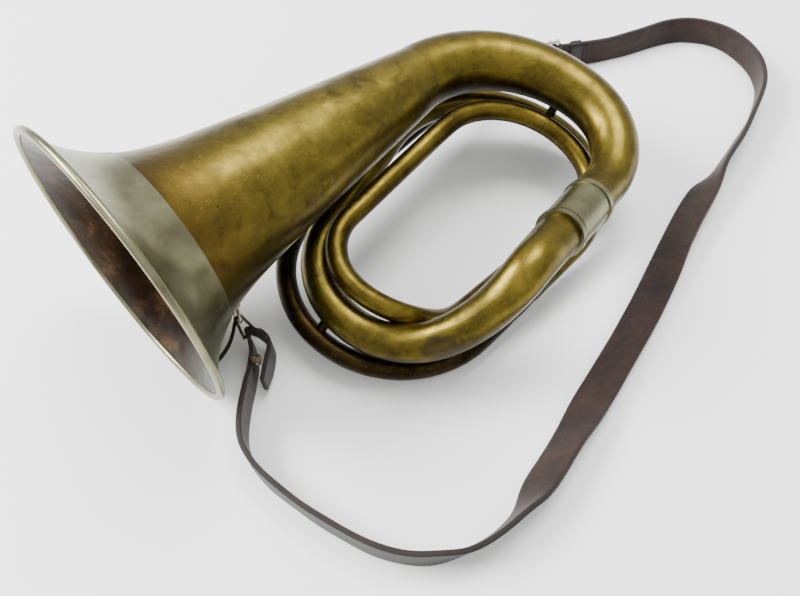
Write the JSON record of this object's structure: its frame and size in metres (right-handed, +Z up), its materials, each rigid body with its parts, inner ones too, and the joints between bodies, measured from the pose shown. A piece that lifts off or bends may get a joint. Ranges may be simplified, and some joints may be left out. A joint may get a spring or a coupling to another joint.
{
  "type": "bugle",
  "caption": "Coiled brass bugle with a flared bell, nickel silver garland and ferrule, lying on its side with a leather shoulder strap on a snap hook and a buckle.",
  "frame": {"origin": "centre of the base of the horn's own box (strap, buckle and what they carry left out), on the surface it lies on", "axes": "+X from the bell's mouth to the mouthpiece socket, +Y to the bell's far side, +Z up"},
  "size_m": [0.3949, 0.2683, 0.1419],
  "materials": {
    "bell_brass": "old brass, olive brown patina over a worn shine",
    "nickel_silver": "nickel silver, dull grey with a warm tarnish",
    "steel_wire": "iron wire inside the rolled rim",
    "bow_brass": "old brass, hand worn",
    "inner_brass": "brass kept brighter inside the coil",
    "dark_brass": "brass blackened by age",
    "receiver_brass": "worn brass",
    "nickel_plate": "bright nickel plate, lightly worn",
    "dark_wire": "blackened iron wire",
    "strap_leather": "dark brown strap leather",
    "thong_leather": "thin near-black leather"
  },
  "bodies": {
    "horn": {"bell": "bell_brass", "garland": "nickel_silver", "rim_roll": "nickel_silver", "rim_wire": "steel_wire", "first_bow": "bow_brass", "second_bow": "bow_brass", "third_bow": "bow_brass", "inner_turn": "inner_brass", "sixth_bow": "dark_brass", "mouthpipe": "dark_brass", "ferrule": "nickel_silver", "ferrule_upper_ring": "nickel_silver", "ferrule_lower_ring": "nickel_silver", "receiver": "receiver_brass", "receiver_ring": "receiver_brass", "stay_right": "dark_brass", "stay_inner": "dark_brass", "stay_left": "dark_brass", "stay_bell": "dark_brass", "side_plate": "dark_brass", "front_lug": "dark_brass", "rear_lug": "dark_brass", "buckle_frame": "nickel_plate", "strap": "strap_leather", "strap_fold": "strap_leather", "strap_loop": "strap_leather", "strap_stud": "nickel_plate", "strap_keeper": "strap_leather", "strap_thong": "thong_leather"},
    "snap": {"front_snap": "nickel_plate"},
    "gate": {"snap_gate": "nickel_plate"},
    "link": {"front_link": "dark_wire"},
    "ring": {"rear_ring": "nickel_plate"},
    "prong": {"buckle_prong": "nickel_plate"}
  },
  "joints": [
    {"name": "snap_swing", "type": "hinge", "parent": "horn", "child": "snap", "pos_m": [-0.10764, 0.01171, 0.03041], "axis": [1, 0, 0], "range_deg": [-3.5, 3.5]},
    {"name": "gate_open", "type": "hinge", "parent": "snap", "child": "gate", "pos_m": [-0.10612, 0.01056, 0.02513], "axis": [0, -0.9769, 0.2137], "range_deg": [-20, 0], "stiffness_Nm_per_rad": 0.002},
    {"name": "link_swing", "type": "hinge", "parent": "horn", "child": "link", "pos_m": [-0.11012, 0.00178, 0.0125], "axis": [0.9899, 0.1414, 0], "range_deg": [-3, 3]},
    {"name": "ring_turn", "type": "hinge", "parent": "horn", "child": "ring", "pos_m": [0.13745, 0.04133, 0.01002], "axis": [0, 0, 1], "continuous": true},
    {"name": "prong_lift", "type": "hinge", "parent": "horn", "child": "prong", "pos_m": [0.15988, 0.02628, 0.015], "axis": [0, 0, -1], "range_deg": [0, 70]}
  ]
}
